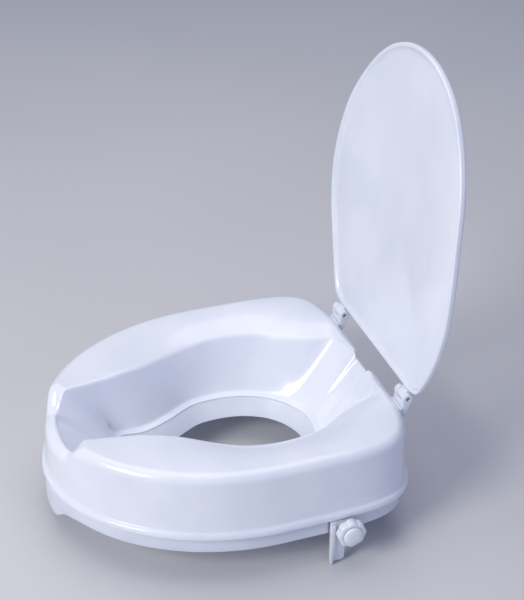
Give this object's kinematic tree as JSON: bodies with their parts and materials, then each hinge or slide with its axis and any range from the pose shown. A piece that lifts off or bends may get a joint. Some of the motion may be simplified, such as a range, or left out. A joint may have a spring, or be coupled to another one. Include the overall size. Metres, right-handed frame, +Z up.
{
  "type": "raised toilet seat",
  "caption": "Raised toilet seat: a tall oval moulded seat with a keyhole opening and low front, on a base ring, with a hinged lid and screw clamps that grip the bowl.",
  "frame": {"origin": "centre of the bowl rim plane that the seat rests on", "axes": "+Z up, -Y towards the front of the seat, +X towards the sitter's left"},
  "size_m": [0.4202, 0.4716, 0.5487],
  "materials": {
    "shell": "glossy moulded white polypropylene",
    "ring": "finely textured white polypropylene, satin",
    "lid": "glossy moulded white polypropylene",
    "hardware_white": "moulded white nylon, slightly glossy",
    "zinc_steel": "zinc-plated steel",
    "brass": "turned brass",
    "rubber": "matt grey moulded rubber"
  },
  "bodies": {
    "seat": {"seat_shell": "shell", "base_ring": "ring", "ring_screw_1": "zinc_steel", "ring_screw_2": "zinc_steel", "ring_screw_3": "zinc_steel", "ring_screw_4": "zinc_steel", "ring_screw_5": "zinc_steel", "ring_screw_6": "zinc_steel", "ring_screw_7": "zinc_steel", "ring_screw_8": "zinc_steel", "rim_pad_1": "rubber", "rim_pad_2": "rubber", "rim_pad_3": "rubber", "rim_pad_4": "rubber", "hinge_bracket_left": "hardware_white", "hinge_pin_left": "zinc_steel", "hinge_screw_left_1": "zinc_steel", "hinge_screw_left_2": "zinc_steel", "hinge_bracket_right": "hardware_white", "hinge_pin_right": "zinc_steel", "hinge_screw_right_1": "zinc_steel", "hinge_screw_right_2": "zinc_steel", "clamp_stud_left": "zinc_steel", "clamp_stud_right": "zinc_steel"},
    "lid": {"lid": "lid", "lid_arm_left": "hardware_white", "lid_screw_left_1": "zinc_steel", "lid_screw_left_2": "zinc_steel", "lid_arm_right": "hardware_white", "lid_screw_right_1": "zinc_steel", "lid_screw_right_2": "zinc_steel"},
    "clamp_left": {"clamp_bracket_left": "hardware_white", "clamp_pad_left": "rubber", "clamp_washer_left": "zinc_steel"},
    "knob_left": {"clamp_knob_left": "hardware_white", "knob_insert_left": "brass", "knob_cap_left": "hardware_white"},
    "clamp_right": {"clamp_bracket_right": "hardware_white", "clamp_pad_right": "rubber", "clamp_washer_right": "zinc_steel"},
    "knob_right": {"clamp_knob_right": "hardware_white", "knob_insert_right": "brass", "knob_cap_right": "hardware_white"}
  },
  "joints": [
    {"name": "lid_hinge", "type": "hinge", "parent": "seat", "child": "lid", "pos_m": [0, 0.20107, 0.1152], "axis": [1, 0, 0], "range_deg": [0, 95.2]},
    {"name": "clamp_slide_left", "type": "slide", "parent": "seat", "child": "clamp_left", "axis": [-1, 0, 0], "range_m": [0, 0.004]},
    {"name": "knob_turn_left", "type": "hinge", "parent": "clamp_left", "child": "knob_left", "pos_m": [0.19933, 0.096, 0.009], "axis": [-1, 0, 0], "range_deg": [0, 720]},
    {"name": "clamp_slide_right", "type": "slide", "parent": "seat", "child": "clamp_right", "axis": [1, 0, 0], "range_m": [0, 0.004]},
    {"name": "knob_turn_right", "type": "hinge", "parent": "clamp_right", "child": "knob_right", "pos_m": [-0.19933, 0.096, 0.009], "axis": [1, 0, 0], "range_deg": [0, 720]}
  ],
  "couplings": [
    {"joint": "knob_turn_left", "follows": "clamp_slide_left", "rad_per_m": 3141.6},
    {"joint": "knob_turn_right", "follows": "clamp_slide_right", "rad_per_m": 3141.6}
  ]
}
